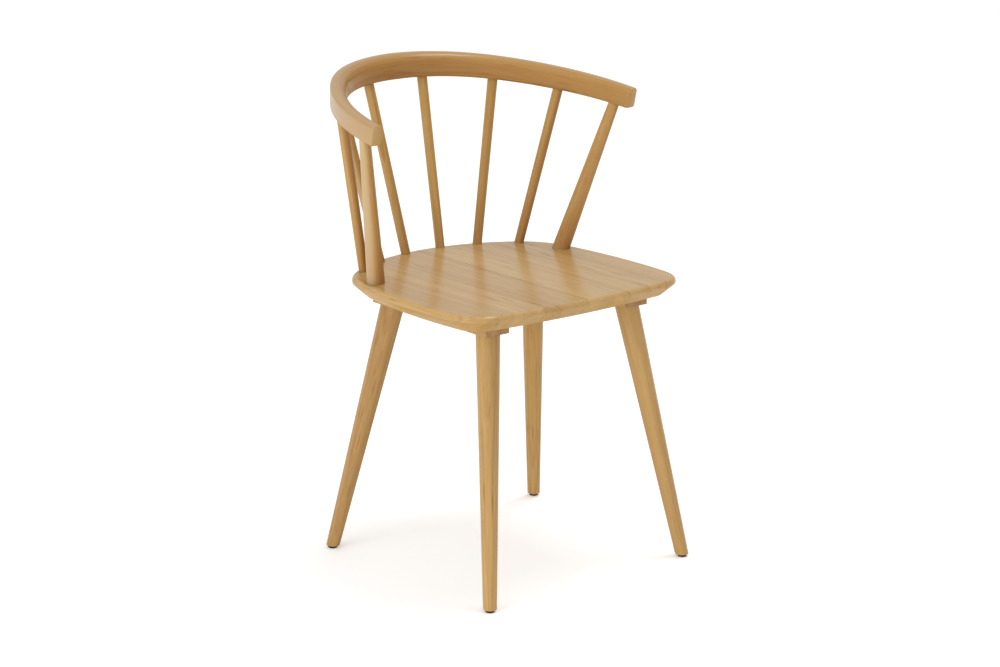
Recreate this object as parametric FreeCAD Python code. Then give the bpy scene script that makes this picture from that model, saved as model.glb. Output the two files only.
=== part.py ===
import FreeCAD, Part
import math
import os
from collections import namedtuple

# A low-backed wooden armchair: a flat seat glued up from boards, four splayed
# round legs on blocks under the seat, two arm posts and six spindles, and one
# bent rail that is the arm rest and the back rest.
# Millimetres. Z is up, the chair faces -Y, and the origin is on the floor at
# the middle of the chair's width and depth.

# Seat: plan of tangent arcs, from the middle of the front edge round to the
# middle of the back, each with a radius and the turn that it makes in degrees
seat_height = 450.0
seat_thickness = 27.0
seat_front_reach = 238.9
seat_front_radius = 1590.0
seat_front_half_angle = 6.1
seat_corner_radius = 57.0
seat_corner_angle = 78.35
seat_side_radius = 893.0
seat_side_angle = 14.85
seat_rear_corner_radius = 114.0
seat_rear_corner_angle = 47.25

# Seat edge, from the top down: a rounded edge, a narrow land, then an undercut
seat_edge_round = 7.5
seat_land = 1.5
seat_undercut = 20.5

# Seat boards, glued edge to edge, with a joint on the middle line
board_width = 84.0
boards_each_side = 3

# Arm rail: centre line of a back arc and two flatter arm arcs, falling forward
rail_back_reach = 244.3
rail_back_radius = 215.0
rail_back_half_length = 180.5
rail_arm_radius = 370.0
rail_arm_length = 245.0
rail_middle_height = 740.0
rail_fall_share = 0.13
rail_back_width = 29.5
rail_end_width = 20.0
rail_back_height = 40.0
rail_end_height = 33.5
rail_inner_round_share = 0.58
rail_outer_round_share = 0.32
rail_under_round = 4.0
rail_end_rake_angle = 12.0
rail_end_round = 2.0
rail_half_stations = 8
rail_end_overrun = 12.0

# Spindles and arm posts: each stands at a share of the seat's half outline,
# counted from the middle of the back, and meets the rail at a share of the
# rail's half length; the inset is from the seat's edge to the middle
spindle_seat_shares = (0.0491, 0.1416, 0.2391)
spindle_rail_shares = (0.1290, 0.4055, 0.6650)
spindle_insets = (9.9, 10.6, 14.4)
spindle_foot_radius = 7.6
spindle_top_radius = 8.15
spindle_tenon_radius = 5.0
spindle_tenon_length = 11.0
spindle_seat_recess = 2.5
spindle_rail_recess = 4.0
post_seat_share = 0.3644
post_rail_share = 0.9130
post_inset = 24.8
post_foot_radius = 14.0
post_top_radius = 8.7
post_foot_tenon_radius = 9.0
post_foot_tenon_length = 14.0
post_top_tenon_radius = 4.5
post_top_tenon_length = 12.0
post_seat_recess = 3.0
post_rail_recess = 4.0
tenon_chamfer = 1.0

# Leg blocks: square, one at the head of each leg, under the seat
block_width = 46.0
block_thickness = 15.0
block_edge_round = 1.5

# Legs: where the heads stand in from the seat's sides, front and back, and how
# far the feet stand out from the heads
front_head_from_side = 83.9
front_head_from_edge = 69.4
rear_head_from_side = 81.1
rear_head_from_edge = 118.3
front_splay_out = 58.6
front_splay_forward = 79.8
rear_splay_out = 69.1
rear_splay_back = 72.2
leg_head_radius = 18.75
leg_foot_radius = 10.6
leg_foot_round = 2.0

# Glides: a round pad under each foot, held by a nail
glide_radius = 7.2
glide_height = 3.5
glide_round = 0.8
glide_recess = 1.5
nail_head_radius = 3.0
nail_head_thickness = 1.2
nail_radius = 1.25
nail_length = 18.0
nail_point = 2.0

# Leg fixings: a hanger bolt in each leg, a threaded insert in each block and
# two countersunk screws that hold the block to the seat
bolt_radius = 4.0
bolt_length_in_leg = 40.0
bolt_length_in_insert = 17.0
bolt_point = 6.0
bolt_point_radius = 1.5
bolt_end_chamfer = 0.8
insert_radius = 6.0
insert_start = 2.5
insert_length = 17.0
insert_end_chamfer = 0.8
screw_offset = 17.0
screw_head_radius = 3.8
screw_head_height = 2.4
screw_radius = 1.9
screw_length = 30.0
screw_point = 5.0
screw_point_radius = 0.5
screw_recess_length = 4.2
screw_recess_width = 0.9
screw_recess_depth = 1.4

# Fits
glue_gap = 0.1
bore_end_gap = 0.5
overrun = 5.0

full_circle = 360.0
UP = FreeCAD.Vector(0, 0, 1)
ORIGIN = FreeCAD.Vector(0, 0, 0)
SIDES = (("left", 1), ("right", -1))
seat_under = seat_height - seat_thickness
block_under = seat_under - block_thickness
seat_back_half_angle = (full_circle / 2 - seat_front_half_angle - seat_corner_angle
                       - seat_side_angle - seat_rear_corner_angle)

SeatArc = namedtuple("SeatArc", "centre radius start end")
Turning = namedtuple("Turning", "foot_radius top_radius seat_recess rail_recess"
                     " foot_tenon_radius foot_tenon_length top_tenon_radius top_tenon_length")


def vector(x, y, z):
    return FreeCAD.Vector(x, y, z)


def turned(profile, start, direction):
    """A turned solid: the profile gives (place along the axis, radius) pairs."""
    first, last = profile[0][0], profile[-1][0]
    points = [vector(0, 0, first)]
    points += [vector(radius, 0, along) for along, radius in profile]
    points += [vector(0, 0, last), vector(0, 0, first)]
    face = Part.Face(Part.makePolygon(points))
    solid = face.revolve(ORIGIN, UP, full_circle)
    solid.Placement = FreeCAD.Placement(start, FreeCAD.Rotation(UP, direction))
    return solid


def export(name, *solids):
    shape = solids[0] if len(solids) == 1 else Part.makeCompound(list(solids))
    shape.exportStep(os.path.join("parts", name + ".step"))
    volume = sum(solid.Volume for solid in solids)
    state = "valid" if shape.isValid() else "NOT VALID"
    print(name, len(shape.Solids), "solid(s)", round(volume), "mm3", state)


# Seat plan

def seat_arcs():
    """Arcs of the half towards +X, from front to back, with their headings."""
    turns = ((seat_front_radius, seat_front_half_angle), (seat_corner_radius, seat_corner_angle),
             (seat_side_radius, seat_side_angle), (seat_rear_corner_radius, seat_rear_corner_angle))
    x, y, heading = 0.0, -seat_front_reach, 0.0
    arcs = []
    for radius, turn in turns:
        centre = vector(x - radius * math.sin(heading), y + radius * math.cos(heading), 0)
        end = heading + math.radians(turn)
        arcs.append(SeatArc(centre, radius, heading, end))
        x, y, heading = centre.x + radius * math.sin(end), centre.y - radius * math.cos(end), end
    radius = x / math.sin(math.radians(seat_back_half_angle))
    centre = vector(0, y + radius * math.cos(heading), 0)
    arcs.append(SeatArc(centre, radius, heading, math.pi))
    return arcs


def arc_point(arc, heading, inset, height, side=1):
    radius = arc.radius - inset
    x = arc.centre.x + radius * math.sin(heading)
    return vector(side * x, arc.centre.y - radius * math.cos(heading), height)


def seat_outline(inset, height):
    """Closed wire of the seat's plan, drawn in from the edge by the inset."""
    arcs = seat_arcs()
    front, back = arcs[0], arcs[-1]

    def edge(arc, *places):
        points = [arc_point(arc, heading, inset, height, side) for heading, side in places]
        return Part.Arc(*points).toShape()

    def flank(side):
        return [edge(arc, (arc.start, side), ((arc.start + arc.end) / 2, side), (arc.end, side))
                for arc in arcs[1:-1]]

    edges = [edge(front, (front.end, -1), (front.start, 1), (front.end, 1))]
    edges += flank(1)
    edges.append(edge(back, (back.start, 1), (back.end, 1), (back.start, -1)))
    edges += reversed(flank(-1))
    return Part.Wire(edges)


def seat_point(share, inset, height):
    """Point in from the edge, at a share of the half outline from the back."""
    arcs = seat_arcs()
    lengths = [arc.radius * (arc.end - arc.start) for arc in arcs]
    still_to_go = share * sum(lengths)
    for arc, length in zip(reversed(arcs), reversed(lengths)):
        if still_to_go <= length:
            break
        still_to_go -= length
    return arc_point(arc, arc.end - still_to_go / arc.radius, inset, height)


def seat_half_width():
    side = seat_arcs()[2]
    return side.centre.x + side.radius


def seat_back_reach():
    back = seat_arcs()[-1]
    return back.centre.y + back.radius


def whole_seat():
    edge_band = seat_edge_round + seat_land
    band = Part.Face(seat_outline(0, seat_height - edge_band)).extrude(UP * edge_band)
    top = max(band.Faces, key=lambda face: face.CenterOfMass.z)
    band = band.makeFillet(seat_edge_round, top.Edges)
    undercut = Part.makeLoft([seat_outline(0, seat_height - edge_band),
                              seat_outline(seat_undercut, seat_under)], True, True)
    return band.fuse(undercut).removeSplitter()


def seat_boards(cutters):
    """The seat cut at its glue joints, from the sitter's left to the right."""
    seat = whole_seat()
    reach = seat_half_width() + overrun
    lines = [board_width * step for step in range(boards_each_side - 1, -boards_each_side, -1)]
    lines = [reach] + lines + [-reach]
    back = seat_back_reach() + overrun
    boards = []
    for left, right in zip(lines, lines[1:]):
        slab = Part.makeBox(left - right, back + seat_front_reach + overrun, seat_thickness,
                            vector(right, -seat_front_reach - overrun, seat_under))
        board = seat.common(slab).Solids[0]
        for cutter in cutters:
            if cutter.BoundBox.intersect(board.BoundBox):
                board = board.cut(cutter).Solids[0]
        boards.append(board)
    return boards


# Arm rail

def rail_place(along):
    """Centre point, outward direction and forward direction of the rail."""
    side = 1 if along >= 0 else -1
    along = abs(along)
    turn = min(along, rail_back_half_length) / rail_back_radius
    x = rail_back_radius * math.sin(turn)
    y = rail_back_reach - rail_back_radius * (1 - math.cos(turn))
    arm = max(along - rail_back_half_length, 0) / rail_arm_radius
    x += rail_arm_radius * (math.sin(turn + arm) - math.sin(turn))
    y -= rail_arm_radius * (math.cos(turn) - math.cos(turn + arm))
    heading = turn + arm
    height = rail_middle_height - rail_fall_share * (rail_back_reach - y)
    outward = vector(side * math.sin(heading), math.cos(heading), 0)
    forward = vector(side * math.cos(heading), -math.sin(heading),
                     -rail_fall_share * math.sin(heading))
    return vector(side * x, y, height), outward, forward.normalize()


def rail_half_length():
    return rail_back_half_length + rail_arm_length


def rail_size(along):
    share = abs(along) / rail_half_length()
    width = rail_back_width + (rail_end_width - rail_back_width) * share
    height = rail_back_height + (rail_end_height - rail_back_height) * share
    return width, height


def rail_section(along):
    """Upright section: square below, well rounded above, most so on the inside."""
    centre, outward = rail_place(along)[:2]
    width, height = rail_size(along)
    half_width, half_height = width / 2, height / 2

    def place(out, up):
        return centre + outward * out + UP * up

    corners = ((1, 1, rail_outer_round_share * width), (-1, 1, rail_inner_round_share * width),
               (-1, -1, rail_under_round), (1, -1, rail_under_round))
    edges, ends = [], []
    for out_side, up_side, radius in corners:
        out, up = out_side * (half_width - radius), up_side * (half_height - radius)
        level = place(out + out_side * radius, up)
        upright = place(out, up + up_side * radius)
        bend = radius * math.sqrt(0.5)
        middle = place(out + out_side * bend, up + up_side * bend)
        first, last = (level, upright) if out_side == up_side else (upright, level)
        edges.append(Part.Arc(first, middle, last).toShape())
        ends.append((first, last))
    joined = []
    for index, edge in enumerate(edges):
        following = ends[(index + 1) % len(ends)]
        joined += [edge, Part.makeLine(ends[index][1], following[0])]
    return Part.Wire(joined)


def rail_end_cutter(along):
    """What is sawn off at one end of the rail, on a cut that leans forward above."""
    centre, outward, forward = rail_place(along)
    width, height = rail_size(along)
    upward = UP + forward * math.tan(math.radians(rail_end_rake_angle))
    corners = [centre + outward * (out * width) + upward * (up * height)
               for out, up in ((-1, -1), (1, -1), (1, 1), (-1, 1), (-1, -1))]
    return Part.Face(Part.makePolygon(corners)).extrude(forward * (2 * rail_end_overrun))


def arm_rail(cutters):
    ends = (-rail_half_length(), rail_half_length())
    reach = rail_half_length() + rail_end_overrun
    stations = range(-rail_half_stations, rail_half_stations + 1)
    sections = [rail_section(reach * station / rail_half_stations) for station in stations]
    rail = Part.makeLoft(sections, True, False)
    for along in ends:
        rail = rail.cut(rail_end_cutter(along))
    end_edges = []
    for along in ends:
        centre = rail_place(along)[0]
        cap = min(rail.Faces, key=lambda face: face.CenterOfMass.distanceToPoint(centre))
        end_edges += cap.Edges
    rail = rail.makeFillet(rail_end_round, end_edges)
    for cutter in cutters:
        rail = rail.cut(cutter)
    return rail.Solids[0]


# Spindles and arm posts

def upright(seat_share, inset, rail_share, side, sizes, gap=0.0):
    """A spindle or post with a round tenon at each end, or with a gap its socket."""
    start = seat_point(seat_share, inset, seat_height)
    along = rail_share * rail_half_length()
    end = rail_place(along)[0] - UP * (rail_size(along)[1] / 2)
    start, end = (vector(side * point.x, point.y, point.z) for point in (start, end))
    length = (end - start).Length
    taper = (sizes.top_radius - sizes.foot_radius) / length
    end_gap = bore_end_gap if gap else 0.0
    foot_tenon = sizes.foot_tenon_radius + gap
    top_tenon = sizes.top_tenon_radius + gap
    foot_shoulder = -sizes.seat_recess
    top_shoulder = length + sizes.rail_recess
    foot_end = foot_shoulder - sizes.foot_tenon_length - end_gap
    top_end = top_shoulder + sizes.top_tenon_length + end_gap
    body = [(foot_shoulder, foot_tenon),
            (foot_shoulder, sizes.foot_radius + taper * foot_shoulder + gap),
            (top_shoulder, sizes.foot_radius + taper * top_shoulder + gap),
            (top_shoulder, top_tenon)]
    if gap:
        profile = [(foot_end, foot_tenon)] + body + [(top_end, top_tenon)]
    else:
        profile = [(foot_end, foot_tenon - tenon_chamfer), (foot_end + tenon_chamfer, foot_tenon)]
        profile += body
        profile += [(top_end - tenon_chamfer, top_tenon), (top_end, top_tenon - tenon_chamfer)]
    return turned(profile, start, end - start)


SPINDLE = Turning(spindle_foot_radius, spindle_top_radius, spindle_seat_recess,
                  spindle_rail_recess, spindle_tenon_radius, spindle_tenon_length,
                  spindle_tenon_radius, spindle_tenon_length)
POST = Turning(post_foot_radius, post_top_radius, post_seat_recess, post_rail_recess,
               post_foot_tenon_radius, post_foot_tenon_length,
               post_top_tenon_radius, post_top_tenon_length)


def uprights():
    """Name, solid and socket of each spindle and post."""
    pieces = []
    places = zip(spindle_seat_shares, spindle_insets, spindle_rail_shares)
    for number, (seat_share, inset, rail_share) in enumerate(places, 1):
        for name, side in SIDES:
            where = (seat_share, inset, rail_share, side, SPINDLE)
            pieces.append((f"back_spindle_{name}_{number}", upright(*where),
                           upright(*where, gap=glue_gap)))
    for name, side in SIDES:
        where = (post_seat_share, post_inset, post_rail_share, side, POST)
        pieces.append((f"arm_post_{name}", upright(*where), upright(*where, gap=glue_gap)))
    return pieces


# Legs, blocks, glides and fixings

def leg_stations():
    """Name, head point, foot point on the floor and screw diagonal of each leg."""
    stations = []
    half_width, back = seat_half_width(), seat_back_reach()
    for name, side in SIDES:
        head = vector(side * (half_width - front_head_from_side),
                      front_head_from_edge - seat_front_reach, block_under)
        foot = vector(head.x + side * front_splay_out, head.y - front_splay_forward, 0)
        stations.append((f"front_{name}", head, foot, side))
        head = vector(side * (half_width - rear_head_from_side),
                      back - rear_head_from_edge, block_under)
        foot = vector(head.x + side * rear_splay_out, head.y + rear_splay_back, 0)
        stations.append((f"rear_{name}", head, foot, -side))
    return stations


def foot_point(head, foot):
    """Where the leg's middle line comes out of the foot, on top of the glide."""
    return foot + (head - foot) * (glide_height / head.z)


def hanger_bolt(head, foot, gap=0.0):
    profile = [(-bolt_length_in_leg - gap, bolt_point_radius + gap),
               (-bolt_length_in_leg + bolt_point, bolt_radius + gap),
               (bolt_length_in_insert - bolt_end_chamfer, bolt_radius + gap),
               (bolt_length_in_insert, bolt_radius - bolt_end_chamfer + gap)]
    return turned(profile, head, head - foot)


def threaded_insert(head, foot):
    start, end = insert_start, insert_start + insert_length
    outside = [(start, insert_radius - insert_end_chamfer),
               (start + insert_end_chamfer, insert_radius),
               (end - insert_end_chamfer, insert_radius),
               (end, insert_radius - insert_end_chamfer)]
    bore_radius = bolt_radius + glue_gap
    bore = [(start - overrun, bore_radius), (end + overrun, bore_radius)]
    return turned(outside, head, head - foot).cut(turned(bore, head, head - foot))


def insert_bore(head, foot):
    radius = insert_radius + glue_gap
    profile = [(-overrun, radius), (insert_start + insert_length + bore_end_gap, radius)]
    return turned(profile, head, head - foot)


def leg(head, foot):
    axis = head - foot
    length = axis.Length
    taper = (leg_head_radius - leg_foot_radius) / length
    reach = overrun + leg_head_radius
    profile = [(-reach, leg_foot_radius - taper * reach),
               (length + reach, leg_head_radius + taper * reach)]
    slab = Part.makeBox(2 * length, 2 * length, head.z - glide_height,
                        vector(foot.x - length, foot.y - length, glide_height))
    solid = turned(profile, foot, axis).common(slab).Solids[0]
    sole = min(solid.Faces, key=lambda face: face.CenterOfMass.z)
    solid = solid.makeFillet(leg_foot_round, sole.Edges)
    solid = solid.cut(hanger_bolt(head, foot, glue_gap))
    return solid.cut(nail(foot_point(head, foot), glue_gap)).Solids[0]


def leg_block(head, screw_places):
    half = block_width / 2
    solid = Part.makeBox(block_width, block_width, block_thickness,
                         vector(head.x - half, head.y - half, block_under))
    corners = [edge for edge in solid.Edges if edge.BoundBox.ZLength > block_thickness / 2]
    solid = solid.makeFillet(block_edge_round, corners)
    for place in screw_places:
        solid = solid.cut(screw_body(place, glue_gap))
    return solid


def screw_stations(head, side):
    """Two diagonal corners of the block, seen from below."""
    return [vector(head.x + sign * screw_offset, head.y + sign * side * screw_offset, block_under)
            for sign in (1, -1)]


def screw_body(place, gap=0.0):
    top = screw_length + (bore_end_gap if gap else 0.0)
    profile = [(0.0, screw_head_radius + gap),
               (screw_head_height, screw_radius + gap),
               (screw_length - screw_point, screw_radius + gap),
               (top, screw_point_radius + gap)]
    return turned(profile, place, UP)


def block_screw(place):
    """Countersunk screw with its head level with the block, and a crossed slot."""
    solid = screw_body(place)
    for long_x in (True, False):
        size_x = screw_recess_length if long_x else screw_recess_width
        size_y = screw_recess_width if long_x else screw_recess_length
        corner = place - vector(size_x / 2, size_y / 2, screw_recess_depth)
        solid = solid.cut(Part.makeBox(size_x, size_y, 2 * screw_recess_depth, corner))
    return solid.Solids[0]


def nail(top_of_pad, gap=0.0):
    """Glide nail: a flat head inside the pad and a shank up into the leg."""
    under = glide_recess - nail_head_thickness - glide_height
    profile = [(under, nail_head_radius + gap),
               (glide_recess - glide_height, nail_head_radius + gap),
               (glide_recess - glide_height, nail_radius + gap),
               (nail_length - nail_point, nail_radius + gap),
               (nail_length, nail_radius / 2 + gap)]
    return turned(profile, top_of_pad, UP)


def glide_pad(top_of_pad):
    base = vector(top_of_pad.x, top_of_pad.y, 0)
    solid = Part.makeCylinder(glide_radius, glide_height, base)
    sole = min(solid.Faces, key=lambda face: face.CenterOfMass.z)
    solid = solid.makeFillet(glide_round, sole.Edges)
    solid = solid.cut(Part.makeCylinder(nail_head_radius + glue_gap, glide_recess, base))
    return solid.cut(Part.makeCylinder(nail_radius + glue_gap, glide_height, base)).Solids[0]


def main():
    os.makedirs("parts", exist_ok=True)
    standing = uprights()
    sockets = [socket for name, solid, socket in standing]
    stations = leg_stations()

    screws, bolts, inserts, nails, under_seat = [], [], [], [], []
    for name, head, foot, side in stations:
        places = screw_stations(head, side)
        bore = insert_bore(head, foot)
        under_seat += [bore] + [screw_body(place, glue_gap) for place in places]
        pad_top = foot_point(head, foot)
        export("leg_" + name, leg(head, foot))
        export("leg_block_" + name, leg_block(head, places).cut(bore).Solids[0])
        export("glide_" + name, glide_pad(pad_top))
        screws += [block_screw(place) for place in places]
        bolts.append(hanger_bolt(head, foot))
        inserts.append(threaded_insert(head, foot))
        nails.append(nail(pad_top))
    export("block_screws", *screws)
    export("hanger_bolts", *bolts)
    export("threaded_inserts", *inserts)
    export("glide_nails", *nails)

    for number, board in enumerate(seat_boards(sockets + under_seat), 1):
        export(f"seat_board_{number}", board)
    for name, solid, socket in standing:
        export(name, solid)
    export("arm_rail", arm_rail(sockets))


main()
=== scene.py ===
import math

import bmesh
import bpy
import numpy as np
from mathutils import Matrix, Vector


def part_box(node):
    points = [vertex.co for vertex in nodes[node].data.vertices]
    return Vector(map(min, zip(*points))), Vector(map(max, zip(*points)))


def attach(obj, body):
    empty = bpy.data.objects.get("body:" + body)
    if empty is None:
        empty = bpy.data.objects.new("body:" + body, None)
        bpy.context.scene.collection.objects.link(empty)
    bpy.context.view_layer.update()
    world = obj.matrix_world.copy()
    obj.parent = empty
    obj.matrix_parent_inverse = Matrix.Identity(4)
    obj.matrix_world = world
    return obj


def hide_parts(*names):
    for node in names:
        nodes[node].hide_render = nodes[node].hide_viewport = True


# A low-backed spindle armchair in pale lacquered wood, on a white studio floor.
# Metres, in the frame of the CAD model: Z up, the chair faces -Y.
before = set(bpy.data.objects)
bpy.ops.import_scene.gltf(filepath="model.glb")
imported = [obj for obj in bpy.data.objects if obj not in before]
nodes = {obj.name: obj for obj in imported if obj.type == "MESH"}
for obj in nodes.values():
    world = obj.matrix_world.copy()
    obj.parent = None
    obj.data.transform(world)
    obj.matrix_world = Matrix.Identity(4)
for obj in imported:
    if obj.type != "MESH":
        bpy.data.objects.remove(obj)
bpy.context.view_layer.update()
MM = 0.001

# Camera: where it stands, how it is turned, in degrees, and its lens, in millimetres
CAMERA_PLACE = Vector((-2.68083, -3.24191, 1.49093))
CAMERA_AZIMUTH = 39.8514
CAMERA_FALL = 15.2184
CAMERA_ROLL = 0.4222
CAMERA_LENS = 99.364
SENSOR_WIDTH = 36.0

# Light of the room: at the horizon, overhead, and from wide windows (direction, strength)
# that fade out at an angle whose cosine is the edge
ROOM_HORIZON = 0.38
ROOM_ZENITH = 0.82
WINDOWS = (((-0.9, -0.3, 0.15), 0.68), ((0.6, 0.72, 0.35), 0.22), ((-0.15, -0.95, 0.3), 0.26))
WINDOW_EDGE = 0.3
WHITE = (1.0, 1.0, 1.0, 1.0)
SOFTBOX_AIM = Vector((0.0, 0.0, 0.45))

# Floor, which glows a little so that it stays white
FLOOR_WHITE = (0.9, 0.9, 0.9, 1.0)
FLOOR_ROUGHNESS = 0.7
FLOOR_GLOW = 0.2
FLOOR_HALF_WIDTH = 20.0

# Arm rail: centre line in plan, fall towards the front, section (width, height) in the
# middle and at the ends, rounding of its upper edges as a share of the width and of its
# lower ones, rake and rounding of its ends, and how finely it is drawn
RAIL_BACK_RADIUS = 215.0 * MM
RAIL_BACK_HALF_LENGTH = 180.5 * MM
RAIL_ARM_RADIUS = 370.0 * MM
RAIL_HALF_LENGTH = 425.5 * MM
RAIL_MIDDLE_HEIGHT = 740.0 * MM
RAIL_FALL = 0.13
RAIL_BACK_SIZE = (29.5 * MM, 40.0 * MM)
RAIL_END_SIZE = (20.0 * MM, 33.5 * MM)
RAIL_INNER_ROUND = 0.58
RAIL_OUTER_ROUND = 0.32
RAIL_UNDER_ROUND = 4.0 * MM
RAIL_END_RAKE = math.radians(12.0)
RAIL_END_ROUND = 2.0 * MM
RAIL_RING_STEP = 6.0 * MM
RAIL_RAKE_REACH = 4 * RAIL_RING_STEP
RAIL_CORNER_STEPS = 10
SMALLEST_ROUND = 0.1 * MM

# Turned pieces: radii at the seat and at the rail, tenons (radius, length), and how far
# the taper is sunk in the seat and in the rail
SPINDLE = {"foot_radius": 7.6 * MM, "top_radius": 8.15 * MM, "foot_tenon": (5.0 * MM, 11.0 * MM),
           "top_tenon": (5.0 * MM, 11.0 * MM), "sunk": (2.5 * MM, 4.0 * MM)}
POST = {"foot_radius": 14.0 * MM, "top_radius": 8.7 * MM, "foot_tenon": (9.0 * MM, 14.0 * MM),
        "top_tenon": (4.5 * MM, 12.0 * MM), "sunk": (3.0 * MM, 4.0 * MM)}
TENON_CHAMFER = 1.0 * MM
LEG_FOOT_ROUND = 2.0 * MM
LEG_FOOT_RADIUS = 10.6 * MM
LEG_HEAD_RADIUS = 18.75 * MM
TURNED_SIDES = 72
TURNED_RINGS = 12
ROUND_STEPS = 6
END_RING_DEPTH = 0.1 * MM

# Meshes: edges that turn less look smooth, faces that turn less are one flat face, and
# points that lie nearer are one point
SMOOTH_ANGLE = math.radians(35)
FLAT_ANGLE = math.radians(0.05)
MERGE_DISTANCE = 0.002 * MM

# Figure of the wood: features per metre, across the grain both ways and along it
TRUNK_GRAIN = (7.0, 7.0, 1.6)
STREAK_GRAIN = (38.0, 38.0, 1.5)
FIBRE_GRAIN = (420.0, 420.0, 9.0)
FLECK_PATCHES = (16.0, 16.0, 7.0)
FLECK_GRAIN = (250.0, 250.0, 20.0)
SMALL_FLECK_GRAIN = (520.0, 520.0, 45.0)
PORE_GRAIN = (1500.0, 1500.0, 90.0)
MARK_PATCHES = (17.0, 17.0, 9.0)
MARK_GRAIN = (230.0, 230.0, 19.0)
END_PATCHES = (90.0, 90.0, 90.0)

# Rings: how far the trunk wanders, how wide a year is, where in it the late wood darkens
# and where it stops, and how dark it is every year and, on top of that, in a dry one
TRUNK_WANDER = (0.05, 0.05, 0.0)
RING_SPACING = 5.0 * MM
LATE_WOOD = (0.35, 0.9)
YEAR_END = (1.0, 0.93)
EVERY_YEAR = 0.1
DRY_YEAR = 1.2

# What broad streaks, fibres, small flecks and pores add to the darker colour, and how
# near the middle of its cell a dash begins and is full
BROAD_SHARE = 0.6
FIBRE_SHARE = 0.4
SMALL_FLECK_SHARE = 0.3
PORE_SHARE = 0.12
DASH_EDGE = (0.5, 0.1)

# End grain: how squarely a face has to cut the fibres, where it begins and where it is
# full, how dark it is at least and how much darker in patches, and what fibres and
# flecks lose there
END_CUT = (0.3, 0.95)
END_GRAIN = (0.6, 0.8)
LOST_AT_ENDS = -0.7

# Seat boards, and the glue lines between them
BOARD_WIDTH = 84.0 * MM
JOINT_HALF_WIDTH = 0.4 * MM
JOINT_STRENGTH = 0.55

# Surface: roughness of bare wood, what streaks and end grain add to it, height of pores
# and fibres, the lacquer, and how far down a face may look before it has none, a painted
# shade that keeps the floor's reflection off the undersides
WOOD_ROUGHNESS = 0.4
STREAK_ROUGHNESS = 0.12
END_ROUGHNESS = 0.3
PORE_DEPTH = -0.5
FIBRE_HEIGHT = 0.5
WOOD_RELIEF = 0.15
WOOD_RELIEF_DEPTH = 0.1 * MM
WOOD_SHINE = 0.05
LACQUER_IOR = 1.5
SHADED_UNDERSIDE = (-0.4, 0.0)

# Plastic and metal: depth of their unevenness, its range of roughness, and how dark the
# colour gets
PLAIN_RELIEF_DEPTH = 0.05 * MM
PLAIN_UNEVEN = (0.85, 1.1)
PLAIN_DARKEST = 0.8

# Paler sapwood and redder heartwood: their colours on screen, the side of the uprights on
# which the heartwood lies, and where each begins and is full. That side is the one turned
# away from the light, so the redder heartwood there is painted shade as well as redder wood,
# and the paler sapwood on the lit side opposite is painted light as well as paler wood
PALE_WOOD_AND_LIGHT = (178, 153, 116)
RED_WOOD_AND_SHADE = (132, 70, 24)
SHADED_SIDE = Vector((0.77, -0.64, 0.0))
HEART_AND_SHADE_FADE = (-0.3, 1.0)
SAPWOOD_AND_LIGHT_FADE = (0.5, -0.3)
# Painted shade: the uprights turn redder and darker towards their feet, where they meet the seat
FOOT_SHADE_FADE = (0.12, 0.0)
FOOT_PAINTED_SHADE = 0.22
# On the rail, painted shade darkens the inner face, and paler sapwood with painted light lies on
# the outer half
RAIL_HEART_AND_SHADE_FADE = (-0.6, -1.0)
RAIL_SAPWOOD_AND_LIGHT_FADE = (-0.95, 0.6)
RAIL_HEARTWOOD_AND_SHADE = 0.25
RAIL_SAPWOOD_AND_LIGHT = 0.5

# Where in the log each piece is cut, in metres, and how pale or dark it is
BOARD_SHIFTS = ((0.05, -0.36, 0.2), (0.13, -0.31, 1.4), (-0.02, -0.39, 2.7),
                (0.21, -0.33, 3.9), (-0.11, -0.37, 5.1), (0.04, -0.3, 6.6))
BOARD_TONES = (0.04, -0.04, 0.05, -0.08, 0.03, -0.05)
LEG_TONES = {"front_left": 0.0, "front_right": 0.05, "rear_left": -0.02, "rear_right": -0.2}
RAIL_SHIFT = Vector((0.24, 0.13, 0.3))

# Arm post and three spindles of each side: tone, heartwood (with painted shade on the side
# away from the light), sapwood (with painted light on the lit side)
UPRIGHT_LOOKS = {
    "left": ((-0.06, 0.3, 0.0), (-0.02, 0.05, 0.0), (0.05, 0.1, 0.0), (-0.08, 0.45, 0.0)),
    "right": ((0.1, 0.33, 0.9), (0.03, 0.1, 0.1), (0.0, 0.35, 0.5), (-0.1, 0.6, 0.2)),
}


# Building node trees

def wire(tree, target, value):
    """Feeds an input from another socket, or sets it to a plain value."""
    if isinstance(value, bpy.types.NodeSocket):
        tree.links.new(value, target)
    else:
        target.default_value = value


def add(tree, kind, inputs=None, **settings):
    """A new node with its settings and inputs filled in."""
    node = tree.nodes.new(kind)
    for key, value in settings.items():
        setattr(node, key, value)
    for key, value in (inputs or {}).items():
        wire(tree, node.inputs[key], value)
    return node


def calc(tree, operation, *values):
    """One step of arithmetic on numbers."""
    node = add(tree, "ShaderNodeMath", operation=operation)
    for index, value in enumerate(values):
        wire(tree, node.inputs[index], value)
    return node.outputs[0]


def vector_calc(tree, operation, *values):
    """One step of arithmetic on vectors."""
    node = add(tree, "ShaderNodeVectorMath", operation=operation)
    for index, value in enumerate(values):
        wire(tree, node.inputs[index], value)
    single = operation in ("DOT_PRODUCT", "LENGTH", "DISTANCE")
    return node.outputs["Value" if single else "Vector"]


def scaled(tree, vector, factor):
    """A vector made longer or shorter."""
    node = add(tree, "ShaderNodeVectorMath", {0: vector, "Scale": factor}, operation="SCALE")
    return node.outputs["Vector"]


def split(tree, vector):
    """The three parts of a vector."""
    return add(tree, "ShaderNodeSeparateXYZ", {0: vector}).outputs[:]


def joined(tree, x, y, z):
    """A vector from its three parts."""
    return add(tree, "ShaderNodeCombineXYZ", {0: x, 1: y, 2: z}).outputs[0]


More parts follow.
